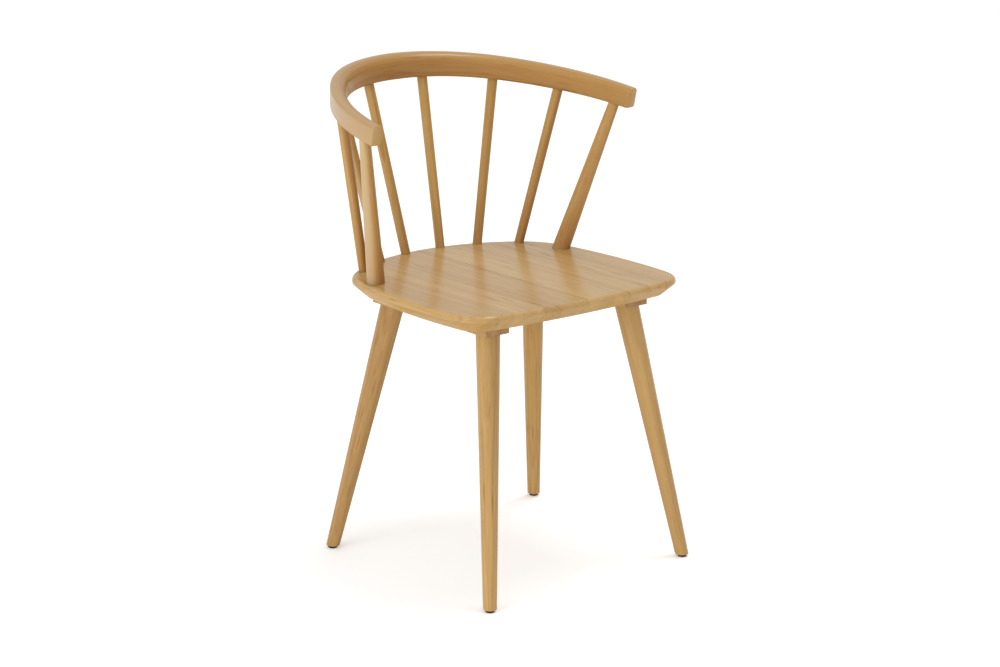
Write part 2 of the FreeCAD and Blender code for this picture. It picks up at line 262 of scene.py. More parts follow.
def faded(tree, value, limits, strength=1.0):
    """Nothing at the first limit, rising softly to the full strength at the second."""
    start, end = limits
    return add(tree, "ShaderNodeMapRange", {"Value": value, "From Min": start, "From Max": end,
                                            "To Min": 0.0, "To Max": strength},
               interpolation_type="SMOOTHSTEP").outputs[0]


def open_tree(name, kind, inputs, outputs):
    """An empty tree with named sockets, and its two ends."""
    tree = bpy.data.node_groups.new(name, kind)
    for label, socket, value in inputs:
        made = tree.interface.new_socket(label, in_out="INPUT", socket_type=socket)
        if value is not None:
            made.default_value = value
    for label, socket in outputs:
        tree.interface.new_socket(label, in_out="OUTPUT", socket_type=socket)
    return tree, tree.nodes.new("NodeGroupInput").outputs, tree.nodes.new("NodeGroupOutput").inputs


# Geometry Nodes

def stored(tree, geometry, name, value, kind="FLOAT_VECTOR"):
    """The geometry with a named value kept on its points, for the material."""
    return add(tree, "GeometryNodeStoreNamedAttribute",
               {"Geometry": geometry, "Name": name, "Value": value},
               data_type=kind, domain="POINT").outputs["Geometry"]


def finished(tree, geometry, material):
    """The last two steps of every tree: real meshes, and their material."""
    real = add(tree, "GeometryNodeRealizeInstances", {"Geometry": geometry}).outputs["Geometry"]
    painted = add(tree, "GeometryNodeSetMaterial", {"Geometry": real, "Material": material})
    return painted.outputs["Geometry"]


def lathe_tree():
    """Turns a profile, given as a line of points (radius, 0, place along the axis)."""
    tree, given, made = open_tree("turned on a lathe", "GeometryNodeTree", (
        ("Profile", "NodeSocketGeometry", None),
        ("Foot", "NodeSocketVector", (0, 0, 0)),
        ("Axis", "NodeSocketVector", (0, 0, 1)),
        ("Sides", "NodeSocketInt", TURNED_SIDES),
        ("Level ends", "NodeSocketFloat", 0.0),
        ("Grain shift", "NodeSocketVector", (0, 0, 0)),
        ("Tone", "NodeSocketFloat", 0.0),
        ("Shaded side", "NodeSocketVector", (0, 0, 0)),
        ("Heartwood", "NodeSocketFloat", 0.0),
        ("Heartwood at foot", "NodeSocketFloat", 0.0),
        ("Sapwood", "NodeSocketFloat", 0.0),
        ("Finish", "NodeSocketMaterial", None),
    ), (("Piece", "NodeSocketGeometry"),))
    size = add(tree, "GeometryNodeAttributeDomainSize", {"Geometry": given["Profile"]})
    steps = calc(tree, "SUBTRACT", size.outputs["Point Count"], 1)
    cylinder = add(tree, "GeometryNodeMeshCylinder",
                   {"Vertices": given["Sides"], "Side Segments": steps,
                    "Radius": 1.0, "Depth": 1.0}, fill_type="NGON")
    place = add(tree, "GeometryNodeInputPosition").outputs[0]
    x, y, z = split(tree, place)
    ring = calc(tree, "ROUND", calc(tree, "MULTIPLY", calc(tree, "ADD", z, 0.5), steps))
    sample = add(tree, "GeometryNodeSampleIndex",
                 {"Geometry": given["Profile"], "Value": place, "Index": ring},
                 data_type="FLOAT_VECTOR", domain="POINT")
    radius, _, along = split(tree, sample.outputs["Value"])
    across = joined(tree, calc(tree, "MULTIPLY", x, radius), calc(tree, "MULTIPLY", y, radius), 0.0)
    axis = vector_calc(tree, "NORMALIZE", given["Axis"])
    turn = add(tree, "FunctionNodeAlignRotationToVector", {"Vector": axis}, axis="Z")
    outwards = add(tree, "FunctionNodeRotateVector",
                   {"Vector": across, "Rotation": turn.outputs[0]}).outputs[0]
    slide = calc(tree, "DIVIDE", split(tree, outwards)[2], split(tree, axis)[2])
    slide = calc(tree, "MULTIPLY", slide, given["Level ends"])
    on_axis = scaled(tree, axis, calc(tree, "SUBTRACT", along, slide))
    final = vector_calc(tree, "ADD", given["Foot"], vector_calc(tree, "ADD", on_axis, outwards))
    grain = vector_calc(tree, "ADD", across, joined(tree, 0.0, 0.0, along))
    grain = vector_calc(tree, "ADD", grain, given["Grain shift"])
    # Painted shade: redder on the side turned from the light and towards the foot. Painted light:
    # paler on the side that faces it
    facing = vector_calc(tree, "NORMALIZE", across)
    facing = vector_calc(tree, "DOT_PRODUCT", facing, given["Shaded side"])
    heart_and_shade = calc(tree, "ADD", faded(tree, facing, HEART_AND_SHADE_FADE, given["Heartwood"]),
                 faded(tree, along, FOOT_SHADE_FADE, given["Heartwood at foot"]))
    sap_and_light = faded(tree, facing, SAPWOOD_AND_LIGHT_FADE, given["Sapwood"])
    geometry = stored(tree, cylinder.outputs["Mesh"], "grain", grain)
    geometry = stored(tree, geometry, "grain_axis", axis)
    geometry = stored(tree, geometry, "tone", given["Tone"], "FLOAT")
    geometry = stored(tree, geometry, "heartwood", heart_and_shade, "FLOAT")
    geometry = stored(tree, geometry, "sapwood", sap_and_light, "FLOAT")
    geometry = add(tree, "GeometryNodeSetPosition",
                   {"Geometry": geometry, "Position": final}).outputs["Geometry"]
    tree.links.new(finished(tree, geometry, given["Finish"]), made["Piece"])
    return tree


def bending_tree():
    """Bends a straight blank, made along Y with X outwards, round the rail's plan."""
    tree, given, made = open_tree("bent to the rail's plan", "GeometryNodeTree", (
        ("Blank", "NodeSocketGeometry", None),
        ("Back reach", "NodeSocketFloat", 0.0),
        ("Back radius", "NodeSocketFloat", RAIL_BACK_RADIUS),
        ("Back half length", "NodeSocketFloat", RAIL_BACK_HALF_LENGTH),
        ("Arm radius", "NodeSocketFloat", RAIL_ARM_RADIUS),
        ("Middle height", "NodeSocketFloat", RAIL_MIDDLE_HEIGHT),
        ("Fall", "NodeSocketFloat", RAIL_FALL),
        ("Half width", "NodeSocketFloat", RAIL_BACK_SIZE[0] / 2),
        ("Grain shift", "NodeSocketVector", (0, 0, 0)),
        ("Heartwood", "NodeSocketFloat", 0.0),
        ("Sapwood", "NodeSocketFloat", 0.0),
        ("Finish", "NodeSocketMaterial", None),
    ), (("Piece", "NodeSocketGeometry"),))
    place = add(tree, "GeometryNodeInputPosition").outputs[0]
    out, along, up = split(tree, place)
    side = calc(tree, "SIGN", along)
    far = calc(tree, "ABSOLUTE", along)
    back_radius, arm_radius = given["Back radius"], given["Arm radius"]
    on_back = calc(tree, "MINIMUM", far, given["Back half length"])
    on_arm = calc(tree, "SUBTRACT", far, on_back)
    turn = calc(tree, "DIVIDE", on_back, back_radius)
    heading = calc(tree, "ADD", turn, calc(tree, "DIVIDE", on_arm, arm_radius))
    sine, cosine = calc(tree, "SINE", heading), calc(tree, "COSINE", heading)
    reach = calc(tree, "MULTIPLY", calc(tree, "SINE", turn), back_radius)
    beyond = calc(tree, "SUBTRACT", sine, calc(tree, "SINE", turn))
    reach = calc(tree, "MULTIPLY_ADD", beyond, arm_radius, reach)
    forward = calc(tree, "MULTIPLY", calc(tree, "SUBTRACT", 1.0, calc(tree, "COSINE", turn)),
                   back_radius)
    beyond = calc(tree, "SUBTRACT", calc(tree, "COSINE", turn), cosine)
    forward = calc(tree, "MULTIPLY_ADD", beyond, arm_radius, forward)
    x = calc(tree, "MULTIPLY", side, calc(tree, "MULTIPLY_ADD", sine, out, reach))
    y = calc(tree, "MULTIPLY_ADD", cosine, out, given["Back reach"])
    y = calc(tree, "SUBTRACT", y, forward)
    fall = calc(tree, "MULTIPLY", forward, given["Fall"])
    z = calc(tree, "SUBTRACT", calc(tree, "ADD", given["Middle height"], up), fall)
    grain = vector_calc(tree, "ADD", joined(tree, out, up, along), given["Grain shift"])
    backwards = calc(tree, "MULTIPLY", sine, -1.0)
    axis = joined(tree, calc(tree, "MULTIPLY", side, cosine), backwards, 0.0)
    # Painted shade: the inner face is redder and darker. Painted light: the outer half is paler
    outwards = calc(tree, "DIVIDE", out, given["Half width"])
    heart_and_shade = faded(tree, outwards, RAIL_HEART_AND_SHADE_FADE, given["Heartwood"])
    sap_and_light = faded(tree, outwards, RAIL_SAPWOOD_AND_LIGHT_FADE, given["Sapwood"])
    geometry = stored(tree, given["Blank"], "grain", grain)
    geometry = stored(tree, geometry, "grain_axis", axis)
    geometry = stored(tree, geometry, "heartwood", heart_and_shade, "FLOAT")
    geometry = stored(tree, geometry, "sapwood", sap_and_light, "FLOAT")
    geometry = add(tree, "GeometryNodeSetPosition",
                   {"Geometry": geometry, "Position": joined(tree, x, y, z)}).outputs["Geometry"]
    tree.links.new(finished(tree, geometry, given["Finish"]), made["Piece"])
    return tree


def from_tree(name, mesh, tree, values):
    """Runs a tree on a mesh and returns the result as an object with a plain mesh."""
    piece = bpy.data.objects.new(name, mesh)
    bpy.context.scene.collection.objects.link(piece)
    modifier = piece.modifiers.new(tree.name, "NODES")
    modifier.node_group = tree
    for item in tree.interface.items_tree:
        if item.in_out == "INPUT" and item.name in values:
            modifier[item.identifier] = values[item.name]
    graph = bpy.context.evaluated_depsgraph_get()
    result = bpy.data.meshes.new_from_object(piece.evaluated_get(graph))
    piece.modifiers.remove(modifier)
    piece.data = result
    result.name = name
    bpy.data.meshes.remove(mesh)
    result.shade_smooth()
    result.set_sharp_from_angle(angle=SMOOTH_ANGLE)
    return piece


# Materials

def wood_group():
    """Figure of pale lacquered wood: Place runs along the grain in Z, in metres."""
    tree, given, made = open_tree("wood figure", "ShaderNodeTree", (
        ("Place", "NodeSocketVector", None),
        ("Axis", "NodeSocketVector", None),
        ("Light wood", "NodeSocketColor", WHITE),
        ("Dark wood", "NodeSocketColor", (0, 0, 0, 1)),
        ("Ring spacing", "NodeSocketFloat", RING_SPACING),
        ("Ring strength", "NodeSocketFloat", 0.5),
        ("Streak strength", "NodeSocketFloat", 0.5),
        ("Fleck strength", "NodeSocketFloat", 0.5),
        ("Mark strength", "NodeSocketFloat", 0.0),
        ("End grain strength", "NodeSocketFloat", 0.3),
        ("Tone", "NodeSocketFloat", 0.0),
        ("Pale wood", "NodeSocketColor", WHITE),
        ("Sapwood", "NodeSocketFloat", 0.0),
        ("Red wood", "NodeSocketColor", WHITE),
        ("Heartwood", "NodeSocketFloat", 0.0),
        ("Across", "NodeSocketFloat", 0.0),
        ("Board width", "NodeSocketFloat", 0.0),
    ), (("Colour", "NodeSocketColor"), ("Roughness", "NodeSocketFloat"),
        ("Height", "NodeSocketFloat"), ("Lacquer with painted shade below", "NodeSocketFloat")))

    def noise(stretch, detail=2.0, roughness=0.5):
        """Noise with its features per metre across and along the grain."""
        where = vector_calc(tree, "MULTIPLY", given["Place"], stretch)
        return add(tree, "ShaderNodeTexNoise",
                   {"Vector": where, "Scale": 1.0, "Detail": detail, "Roughness": roughness})

    def patches(stretch, limits, **kind):
        """Soft patches: none where the noise is at the first limit, full at the second."""
        return faded(tree, noise(stretch, **kind).outputs[0], limits)

    def dashes(stretch, share, seed):
        """Short lines along the grain: one in some cells of a long, narrow grid."""
        where = vector_calc(tree, "MULTIPLY", given["Place"], stretch)
        where = vector_calc(tree, "ADD", where, (seed, seed, seed))
        cells = add(tree, "ShaderNodeTexVoronoi",
                    {"Vector": where, "Scale": 1.0, "Randomness": 1.0})
        line = faded(tree, cells.outputs["Distance"], DASH_EDGE)
        kept = calc(tree, "LESS_THAN", split(tree, cells.outputs["Color"])[0], share)
        return calc(tree, "MULTIPLY", line, kept)

    # The trunk wanders, so the rings make long arches on a flat board
    wander = vector_calc(tree, "SUBTRACT", noise(TRUNK_GRAIN).outputs["Color"], (0.5, 0.5, 0.5))
    wander = vector_calc(tree, "MULTIPLY", wander, TRUNK_WANDER)
    trunk = vector_calc(tree, "ADD", given["Place"], wander)
    trunk = vector_calc(tree, "MULTIPLY", trunk, (1, 1, 0))
    age = calc(tree, "DIVIDE", vector_calc(tree, "LENGTH", trunk), given["Ring spacing"])
    season = calc(tree, "FRACT", age)
    late = calc(tree, "MULTIPLY", faded(tree, season, LATE_WOOD), faded(tree, season, YEAR_END))
    year = add(tree, "ShaderNodeTexWhiteNoise", {"W": calc(tree, "FLOOR", age)},
               noise_dimensions="1D")
    dry = calc(tree, "MULTIPLY", year.outputs["Value"], year.outputs["Value"])
    rings = calc(tree, "MULTIPLY", late, calc(tree, "MULTIPLY_ADD", dry, DRY_YEAR, EVERY_YEAR))
    rings = calc(tree, "MULTIPLY", rings, given["Ring strength"])

    # How far a face is cut across the grain, from 0 to 1
    normal = add(tree, "ShaderNodeNewGeometry").outputs["Normal"]
    cut = calc(tree, "ABSOLUTE", vector_calc(tree, "DOT_PRODUCT", normal, given["Axis"]))
    cut = faded(tree, cut, END_CUT)
    uncut = calc(tree, "MULTIPLY_ADD", cut, LOST_AT_ENDS, 1.0)

    # Broad streaks, fine fibres, and short dark flecks along the grain
    broad = patches(STREAK_GRAIN, limits=(0.35, 0.75))
    fibre = patches(FIBRE_GRAIN, limits=(0.35, 0.7), detail=3.0, roughness=0.6)
    fibre = calc(tree, "MULTIPLY", fibre, uncut)
    streaks = calc(tree, "MULTIPLY", fibre, FIBRE_SHARE)
    streaks = calc(tree, "MULTIPLY_ADD", broad, BROAD_SHARE, streaks)
    streaks = calc(tree, "MULTIPLY", streaks, given["Streak strength"])
    fleck = calc(tree, "MULTIPLY", dashes(FLECK_GRAIN, share=0.4, seed=0.0),
                 patches(FLECK_PATCHES, limits=(0.5, 0.7)))
    fleck = calc(tree, "MULTIPLY_ADD", dashes(SMALL_FLECK_GRAIN, share=0.4, seed=7.0),
                 SMALL_FLECK_SHARE, fleck)
    fleck = calc(tree, "MULTIPLY", calc(tree, "MULTIPLY", fleck, uncut), given["Fleck strength"])
    pore = dashes(PORE_GRAIN, share=0.6, seed=3.0)

    # Mineral marks: darker dashes that lie together in a few places
    mark = calc(tree, "MULTIPLY", dashes(MARK_GRAIN, share=0.2, seed=11.0),
                patches(MARK_PATCHES, limits=(0.48, 0.64), detail=1.0))
    mark = calc(tree, "MULTIPLY", mark, given["Mark strength"])

    # End grain drinks more of the finish, in patches
    least, more = END_GRAIN
    ends = patches(END_PATCHES, limits=(0.3, 0.7))
    ends = calc(tree, "MULTIPLY_ADD", ends, more, least)
    ends = calc(tree, "MULTIPLY", calc(tree, "MULTIPLY", ends, cut), given["End grain strength"])

    dark = calc(tree, "ADD", calc(tree, "ADD", rings, streaks), calc(tree, "ADD", fleck, ends))
    dark = calc(tree, "MULTIPLY_ADD", pore, PORE_SHARE, calc(tree, "ADD", dark, mark))
    dark = calc(tree, "SUBTRACT", dark, given["Tone"])

    # Glue lines between the boards
    off = calc(tree, "PINGPONG", given["Across"], calc(tree, "MULTIPLY", given["Board width"], 0.5))
    joint = calc(tree, "LESS_THAN", off, JOINT_HALF_WIDTH)
    joint = calc(tree, "MULTIPLY", joint, calc(tree, "GREATER_THAN", given["Board width"], 0.0))
    dark = calc(tree, "MULTIPLY_ADD", joint, JOINT_STRENGTH, dark)

    colour = add(tree, "ShaderNodeMix", {0: dark, 6: given["Light wood"], 7: given["Dark wood"]},
                 data_type="RGBA", clamp_factor=True)
    # Paler sapwood, which carries painted light, and redder heartwood, which carries painted shade
    for share, tint in (("Sapwood", "Pale wood"), ("Heartwood", "Red wood")):
        colour = add(tree, "ShaderNodeMix", {0: given[share], 6: colour.outputs[2], 7: given[tint]},
                     data_type="RGBA")
    rough = calc(tree, "MULTIPLY_ADD", streaks, STREAK_ROUGHNESS, WOOD_ROUGHNESS)
    rough = calc(tree, "MULTIPLY_ADD", ends, END_ROUGHNESS, rough)
    height = calc(tree, "MULTIPLY", fibre, FIBRE_HEIGHT)
    height = calc(tree, "MULTIPLY_ADD", pore, PORE_DEPTH, height)
    tree.links.new(colour.outputs[2], made["Colour"])
    tree.links.new(rough, made["Roughness"])
    tree.links.new(height, made["Height"])

    # The lacquer fades out on faces that look down, a painted shade that keeps the floor's
    # reflection off the undersides
    tree.links.new(faded(tree, split(tree, normal)[2], SHADED_UNDERSIDE), made["Lacquer with painted shade below"])
    return tree


def linear(red, green, blue):
    """A colour as it looks on screen, 0 to 255, as the shader needs it."""
    def one(value):
        share = value / 255
        return share / 12.92 if share <= 0.04045 else ((share + 0.055) / 1.055) ** 2.4
    return (one(red), one(green), one(blue), 1.0)


def new_material(name):
    """A material with its tree and its shader."""
    material = bpy.data.materials.new(name)
    material.use_nodes = True
    return material, material.node_tree, material.node_tree.nodes["Principled BSDF"]


def attribute(tree, name, output="Fac"):
    """A value that the piece keeps on its points."""
    return add(tree, "ShaderNodeAttribute", attribute_name=name).outputs[output]


def wood(name, light, dark, lacquer, haze, **strengths):
    """Wood under a clear satin lacquer: how thick it is, and how hazy its shine."""
    material, tree, shader = new_material(name)
    group = add(tree, "ShaderNodeGroup", node_tree=figure)
    wire(tree, group.inputs["Place"], attribute(tree, "grain", "Vector"))
    wire(tree, group.inputs["Axis"], attribute(tree, "grain_axis", "Vector"))
    for key in ("tone", "sapwood", "heartwood"):
        wire(tree, group.inputs[key.capitalize()], attribute(tree, key))
    place = add(tree, "ShaderNodeTexCoord").outputs["Object"]
    wire(tree, group.inputs["Across"], split(tree, place)[0])
    colours = {"Light wood": light, "Dark wood": dark, "Pale wood": PALE_WOOD_AND_LIGHT, "Red wood": RED_WOOD_AND_SHADE}
    for key, colour in colours.items():
        group.inputs[key].default_value = linear(*colour)
    for key, value in strengths.items():
        group.inputs[key.replace("_", " ").capitalize()].default_value = value
    bump = add(tree, "ShaderNodeBump", {"Height": group.outputs["Height"],
                                        "Strength": WOOD_RELIEF, "Distance": WOOD_RELIEF_DEPTH})
    wire(tree, shader.inputs["Base Color"], group.outputs["Colour"])
    wire(tree, shader.inputs["Roughness"], group.outputs["Roughness"])
    wire(tree, shader.inputs["Normal"], bump.outputs["Normal"])
    # Painted shade: no lacquer, and so no reflection of the floor, on faces that look down
    coat = calc(tree, "MULTIPLY", group.outputs["Lacquer with painted shade below"], lacquer)
    wire(tree, shader.inputs["Coat Weight"], coat)
    shader.inputs["Coat Roughness"].default_value = haze
    shader.inputs["Coat IOR"].default_value = LACQUER_IOR
    shader.inputs["Specular IOR Level"].default_value = WOOD_SHINE
    return material


def plain(name, colour, metallic, roughness, grain_size, relief, shine=0.5):
    """Moulded plastic or plated metal, with a fine uneven surface."""
    smoothest, roughest = PLAIN_UNEVEN
    material, tree, shader = new_material(name)
    place = add(tree, "ShaderNodeTexCoord").outputs["Object"]
    noise = add(tree, "ShaderNodeTexNoise",
                {"Vector": place, "Scale": 1 / grain_size, "Detail": 3.0})
    uneven = add(tree, "ShaderNodeMapRange",
                 {"Value": noise.outputs[0], "To Min": smoothest, "To Max": roughest})
    darkest = [PLAIN_DARKEST * part for part in colour]
    tint = add(tree, "ShaderNodeMix",
               {0: noise.outputs[0], 6: linear(*colour), 7: linear(*darkest)}, data_type="RGBA")
    wire(tree, shader.inputs["Base Color"], tint.outputs[2])
    wire(tree, shader.inputs["Roughness"], calc(tree, "MULTIPLY", uneven.outputs[0], roughness))
    bump = add(tree, "ShaderNodeBump", {"Height": noise.outputs[0], "Strength": relief,
                                        "Distance": PLAIN_RELIEF_DEPTH})
    wire(tree, shader.inputs["Normal"], bump.outputs["Normal"])
    shader.inputs["Metallic"].default_value = metallic
    shader.inputs["Specular IOR Level"].default_value = shine
    return material


figure = wood_group()
seat_wood = wood("seat_wood", light=(183, 149, 95), dark=(134, 93, 39), lacquer=0.7, haze=0.21,
                 ring_strength=0.25, streak_strength=0.35, fleck_strength=0.6,
                 mark_strength=0.65, end_grain_strength=0.1, board_width=BOARD_WIDTH)
rail_wood = wood("rail_wood", light=(167, 126, 64), dark=(116, 71, 23), lacquer=0.55, haze=0.24,
                 ring_strength=0.25, streak_strength=0.4, fleck_strength=0.4,
                 end_grain_strength=-0.5)
turned = {"ring_strength": 0.3, "streak_strength": 0.45, "fleck_strength": 0.4}
spindle_wood = wood("spindle_wood", light=(181, 144, 82), dark=(131, 83, 33), lacquer=0.35,
                    haze=0.28, **turned)
post_wood = wood("post_wood", light=(186, 149, 90), dark=(133, 84, 35), lacquer=0.35,
                 haze=0.32, **turned)
leg_wood = wood("leg_wood", light=(179, 143, 86), dark=(126, 84, 36), lacquer=0.6,
                haze=0.22, **turned)
black_plastic = plain("black_plastic", colour=(42, 27, 14), metallic=0.0, roughness=0.5,
                      grain_size=0.6 * MM, relief=0.3, shine=0.15)
metal = {"metallic": 1.0, "roughness": 0.35, "grain_size": 0.4 * MM, "relief": 0.2}
zinc_steel = plain("zinc_steel", colour=(176, 176, 172), **metal)
insert_brass = plain("insert_brass", colour=(190, 158, 96), **metal)


# Pieces

def dressed(piece, node):
    """Puts a piece in the place of its CAD node, which it hides."""
    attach(piece, "root")
    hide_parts(node)
    return piece


def cad_points(node):
    """All points of a CAD piece, one in each row."""
    return np.array([vertex.co for vertex in nodes[node].data.vertices])


def ring_centres(points, reach):
    """Middle points of the rings with the least and the most reach."""
    rings = (points[reach < reach.min() + END_RING_DEPTH],
             points[reach > reach.max() - END_RING_DEPTH])
    return [Vector((ring.min(axis=0) + ring.max(axis=0)) / 2) for ring in rings]


def end_centres(node):
    """Middles of the foot and the top of a turned piece, cut square to its length."""
    points = cad_points(node)
    along = np.linalg.svd(points - points.mean(axis=0), full_matrices=False)[2][0]
    along = along if along[2] > 0 else -along
    return ring_centres(points, points @ along)


def level_centres(node):
    """The same for a piece whose ends are cut level with the floor."""
    points = cad_points(node)
    return ring_centres(points, points[:, 2])


def profile_mesh(name, profile):
    """A line of points, one for each (place along the axis, radius)."""
    points = [(radius, 0.0, along) for along, radius in profile]
    edges = [(index, index + 1) for index in range(len(points) - 1)]
    mesh = bpy.data.meshes.new(name)
    mesh.from_pydata(points, edges, [])
    return mesh


def taper(start, end, start_radius, end_radius):
    """Rings of a straight taper, both ends included."""
    shares = [step / TURNED_RINGS for step in range(TURNED_RINGS + 1)]
    return [(start + (end - start) * share, start_radius + (end_radius - start_radius) * share)
            for share in shares]


def upright_profile(length, sizes):
    """From the end of the seat tenon to the end of the rail tenon."""
    foot_tenon, foot_tenon_length = sizes["foot_tenon"]
    top_tenon, top_tenon_length = sizes["top_tenon"]
    shoulder, top_shoulder = foot_tenon_length, length - top_tenon_length
    foot_sunk, top_sunk = sizes["sunk"]
    in_sight = top_shoulder - shoulder - foot_sunk - top_sunk
    slope = (sizes["top_radius"] - sizes["foot_radius"]) / in_sight
    foot_radius = sizes["foot_radius"] - slope * foot_sunk
    top_radius = sizes["top_radius"] + slope * top_sunk
    return ([(0.0, foot_tenon - TENON_CHAMFER), (TENON_CHAMFER, foot_tenon), (shoulder, foot_tenon)]
            + taper(shoulder, top_shoulder, foot_radius, top_radius)
            + [(top_shoulder, top_tenon), (length - TENON_CHAMFER, top_tenon),
               (length, top_tenon - TENON_CHAMFER)])


def upright(node, sizes, material, shift, tone, heart_and_shade, sapwood):
    """An arm post or a back spindle, between the ends of its CAD piece."""
    foot, top = end_centres(node)
    axis = top - foot
    mesh = profile_mesh(node, upright_profile(axis.length, sizes))
    piece = from_tree(node.replace("_", "-"), mesh, lathe,
                      {"Foot": foot, "Axis": axis, "Sides": TURNED_SIDES, "Grain shift": shift,
                       "Tone": tone, "Shaded side": SHADED_SIDE, "Heartwood": heart_and_shade,
                       "Heartwood at foot": FOOT_PAINTED_SHADE, "Sapwood": sapwood, "Finish": material})
    return dressed(piece, node)


def leg(node, shift, tone):
    """A leg, cut level at both ends, with a softened edge round its foot."""
    foot, head = level_centres(node)
    axis = head - foot
    rounded = []
    for step in range(ROUND_STEPS + 1):
        angle = math.radians(90) * step / ROUND_STEPS
        rounded.append((LEG_FOOT_ROUND * (1 - math.cos(angle)),
                        LEG_FOOT_RADIUS - LEG_FOOT_ROUND * (1 - math.sin(angle))))
    profile = rounded + taper(LEG_FOOT_ROUND, axis.length, LEG_FOOT_RADIUS, LEG_HEAD_RADIUS)[1:]
    piece = from_tree(node.replace("_", "-"), profile_mesh(node, profile), lathe,
                      {"Foot": foot, "Axis": axis, "Sides": TURNED_SIDES, "Level ends": 1.0,
                       "Grain shift": shift, "Tone": tone, "Finish": leg_wood})
    return dressed(piece, node)


def rail_section(along, inset):
    """Ring of (outwards, up) points at a place along the blank, drawn in by the inset."""
    share = abs(along) / RAIL_HALF_LENGTH
    width, height = (back + (end - back) * share
                     for back, end in zip(RAIL_BACK_SIZE, RAIL_END_SIZE))
    corners = ((1, 1, RAIL_OUTER_ROUND * width, 0), (-1, 1, RAIL_INNER_ROUND * width, 90),
               (-1, -1, RAIL_UNDER_ROUND, 180), (1, -1, RAIL_UNDER_ROUND, 270))
    ring = []
    for out_side, up_side, radius, start in corners:
        radius = max(radius - inset, SMALLEST_ROUND)
        out = out_side * (width / 2 - inset - radius)
        up = up_side * (height / 2 - inset - radius)
        for step in range(RAIL_CORNER_STEPS + 1):
            angle = math.radians(start + 90 * step / RAIL_CORNER_STEPS)
            ring.append((out + radius * math.cos(angle), up + radius * math.sin(angle)))
    return ring


def rail_blank():
    """The rail before it is bent: a tapered bar along Y with raked, softened ends."""
    lean = math.tan(RAIL_END_RAKE)
    steps = round(RAIL_HALF_LENGTH / RAIL_RING_STEP)
    body = RAIL_HALF_LENGTH - RAIL_END_ROUND
    stations = [(body * step / steps, 0.0) for step in range(steps + 1)]
    for step in range(1, ROUND_STEPS + 1):
        angle = math.radians(90) * step / ROUND_STEPS
        stations.append((body + RAIL_END_ROUND * math.sin(angle),
                         RAIL_END_ROUND * (1 - math.cos(angle))))
    stations = [(-along, inset) for along, inset in reversed(stations[1:])] + stations
    rings = []
    for along, inset in stations:
        side = 1 if along > 0 else -1
        raked = max(0.0, 1 - (RAIL_HALF_LENGTH - abs(along)) / RAIL_RAKE_REACH)
        rings.append([(out, along + side * raked * lean * up, up)
                      for out, up in rail_section(along, inset)])
    form = bmesh.new()
    verts = [[form.verts.new(point) for point in ring] for ring in rings]
    for near, far in zip(verts, verts[1:]):
        for index in range(len(near)):
            after = (index + 1) % len(near)
            form.faces.new((near[index], far[index], far[after], near[after]))
    form.faces.new(verts[0])
    form.faces.new(verts[-1])
    bmesh.ops.recalc_face_normals(form, faces=form.faces)
    mesh = bpy.data.meshes.new("rail_blank")
    form.to_mesh(mesh)
    form.free()
    return mesh


def arm_rail():
    """The bent rail, its back level with the back of the CAD piece."""
    _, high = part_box("arm_rail")
    reach = high.y - RAIL_BACK_SIZE[0] / 2
    piece = from_tree("arm-rail", rail_blank(), bending_tree(),
                      {"Back reach": reach, "Back radius": RAIL_BACK_RADIUS,
                       "Back half length": RAIL_BACK_HALF_LENGTH, "Arm radius": RAIL_ARM_RADIUS,
                       "Middle height": RAIL_MIDDLE_HEIGHT, "Fall": RAIL_FALL,
                       "Grain shift": RAIL_SHIFT, "Heartwood": RAIL_HEARTWOOD_AND_SHADE,
                       "Sapwood": RAIL_SAPWOOD_AND_LIGHT, "Finish": rail_wood})
    return dressed(piece, "arm_rail")


def cad_form(node):
    """The CAD shape joined up, its flat faces whole and its corners marked sharp."""
    form = bmesh.new()
    form.from_mesh(nodes[node].data)
    bmesh.ops.remove_doubles(form, verts=form.verts, dist=MERGE_DISTANCE)
    bmesh.ops.dissolve_limit(form, angle_limit=FLAT_ANGLE, verts=form.verts, edges=form.edges,
                             use_dissolve_boundaries=False)
    form.normal_update()
    for face in form.faces:
        face.smooth = True
    for edge in form.edges:
        edge.smooth = edge.calc_face_angle(math.pi) < SMOOTH_ANGLE
    mesh = bpy.data.meshes.new(node)
    form.to_mesh(mesh)
    form.free()
    return mesh


def flat_piece(node, material, shift, tone=0.0):
    """A sawn piece with the CAD shape, whose grain runs from front to back."""
    mesh = cad_form(node)
    count = len(mesh.vertices)
    places = np.empty(3 * count)
    mesh.vertices.foreach_get("co", places)
    along_grain = places.reshape(-1, 3)[:, [0, 2, 1]] + np.array(shift)
    grain = mesh.attributes.new("grain", "FLOAT_VECTOR", "POINT")
    grain.data.foreach_set("vector", along_grain.ravel())
    axis = mesh.attributes.new("grain_axis", "FLOAT_VECTOR", "POINT")
    axis.data.foreach_set("vector", np.tile((0.0, 1.0, 0.0), count))
    shade = mesh.attributes.new("tone", "FLOAT", "POINT")
    shade.data.foreach_set("value", np.full(count, tone))
    mesh.materials.append(material)
    piece = bpy.data.objects.new(node.replace("_", "-"), mesh)
    bpy.context.scene.collection.objects.link(piece)
    even = piece.modifiers.new("even normals", "WEIGHTED_NORMAL")
    even.keep_sharp = True
    return dressed(piece, node)


def repaint(node, material):
    """Gives a CAD piece that stays as it is its material."""
    slots = nodes[node].material_slots
    if not slots:
        nodes[node].data.materials.append(material)
    for place in slots:
        place.material = material


